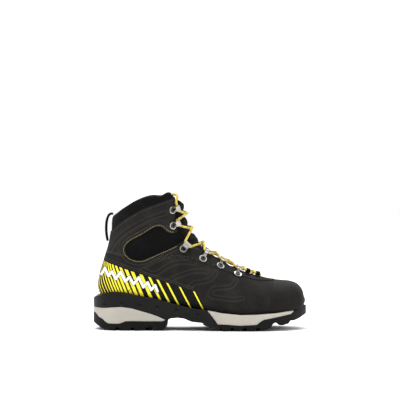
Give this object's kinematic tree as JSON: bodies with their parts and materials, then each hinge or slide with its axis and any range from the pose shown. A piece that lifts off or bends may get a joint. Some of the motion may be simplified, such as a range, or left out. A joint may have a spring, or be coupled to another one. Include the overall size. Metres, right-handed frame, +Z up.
{
  "type": "mountaineering boot",
  "caption": "Mid-height right-foot mountaineering boot, laced, with a lugged two-part sole, padded collar, swivel eyelets and open hooks.",
  "frame": {"origin": "on the ground, under the middle of the bounding box", "axes": "+X to the toe, +Y to the inner (medial) side of this right boot, +Z up"},
  "size_m": [0.3051, 0.1095, 0.1955],
  "materials": {
    "suede": "matte nubuck",
    "overlay_film": "matte",
    "softshell": "woven",
    "lining_fabric": "knit mesh",
    "footbed_foam": "felt top",
    "board": "pressed fibre",
    "tread_rubber": "matte",
    "midsole_foam": "matte",
    "frame_plastic": "satin",
    "shank_steel": "plain",
    "hardware": "satin",
    "rivet": "dark satin",
    "lace_cord": "braided",
    "aglet_plastic": "gloss",
    "webbing": "woven tape"
  },
  "bodies": {
    "boot": {"heel_tread": "tread_rubber", "forefoot_tread": "tread_rubber", "heel_midsole": "midsole_foam", "forefoot_midsole": "midsole_foam", "sole_frame": "frame_plastic", "shank": "shank_steel", "lasting_board": "board", "vamp": "suede", "ankle_cuff": "suede", "back_stay": "suede", "toe_cap": "overlay_film", "heel_band": "overlay_film", "eyestay_lateral": "suede", "eyestay_medial": "suede", "flex_panel_lateral": "softshell", "flex_panel_medial": "softshell", "collar": "softshell", "tongue": "softshell", "gusset_lateral": "softshell", "gusset_medial": "softshell", "lining": "lining_fabric", "heel_counter": "board", "toe_puff": "board", "footbed": "footbed_foam", "toe_loops_lateral": "webbing", "toe_loops_medial": "webbing", "lace": "lace_cord", "lace_end_lateral": "lace_cord", "lace_end_medial": "lace_cord", "aglet_lateral": "aglet_plastic", "aglet_medial": "aglet_plastic", "lock_hook_lateral": "hardware", "cuff_hook_lateral_1": "hardware", "cuff_hook_lateral_2": "hardware", "eyelet_rivets_lateral": "rivet", "hook_rivets_lateral": "rivet", "lock_hook_medial": "hardware", "cuff_hook_medial_1": "hardware", "cuff_hook_medial_2": "hardware", "eyelet_rivets_medial": "rivet", "hook_rivets_medial": "rivet"},
    "eyelet_lateral_1_body": {"eyelet_lateral_1": "hardware"},
    "eyelet_lateral_2_body": {"eyelet_lateral_2": "hardware"},
    "eyelet_lateral_3_body": {"eyelet_lateral_3": "hardware"},
    "eyelet_medial_1_body": {"eyelet_medial_1": "hardware"},
    "eyelet_medial_2_body": {"eyelet_medial_2": "hardware"},
    "eyelet_medial_3_body": {"eyelet_medial_3": "hardware"},
    "pull_loop_body": {"pull_loop": "webbing"}
  },
  "joints": [
    {"name": "eyelet_lateral_1_swivel", "type": "hinge", "parent": "boot", "child": "eyelet_lateral_1_body", "pos_m": [0.0536, -0.02577, 0.0789], "axis": [0.2933, -0.4949, 0.818], "range_deg": [-5, 5]},
    {"name": "eyelet_medial_1_swivel", "type": "hinge", "parent": "boot", "child": "eyelet_medial_1_body", "pos_m": [0.0536, 0.02432, 0.0789], "axis": [0.2333, 0.5319, 0.814], "range_deg": [-5, 5]},
    {"name": "eyelet_lateral_2_swivel", "type": "hinge", "parent": "boot", "child": "eyelet_lateral_2_body", "pos_m": [0.0288, -0.0244, 0.0906], "axis": [0.3893, -0.5812, 0.7146], "range_deg": [-5, 5]},
    {"name": "eyelet_medial_2_swivel", "type": "hinge", "parent": "boot", "child": "eyelet_medial_2_body", "pos_m": [0.0288, 0.02109, 0.0906], "axis": [0.3487, 0.6379, 0.6867], "range_deg": [-5, 5]},
    {"name": "eyelet_lateral_3_swivel", "type": "hinge", "parent": "boot", "child": "eyelet_lateral_3_body", "pos_m": [0.004, -0.02643, 0.1008], "axis": [0.3012, -0.7745, 0.5562], "range_deg": [-5, 5]},
    {"name": "eyelet_medial_3_swivel", "type": "hinge", "parent": "boot", "child": "eyelet_medial_3_body", "pos_m": [0.004, 0.02262, 0.1008], "axis": [0.3007, 0.8198, 0.4874], "range_deg": [-5, 5]},
    {"name": "pull_loop_swing", "type": "hinge", "parent": "boot", "child": "pull_loop_body", "pos_m": [-0.1324, 0, 0.126], "axis": [0.1852, 0, 0.9827], "range_deg": [-10, 10], "stiffness_Nm_per_rad": 0.002}
  ]
}
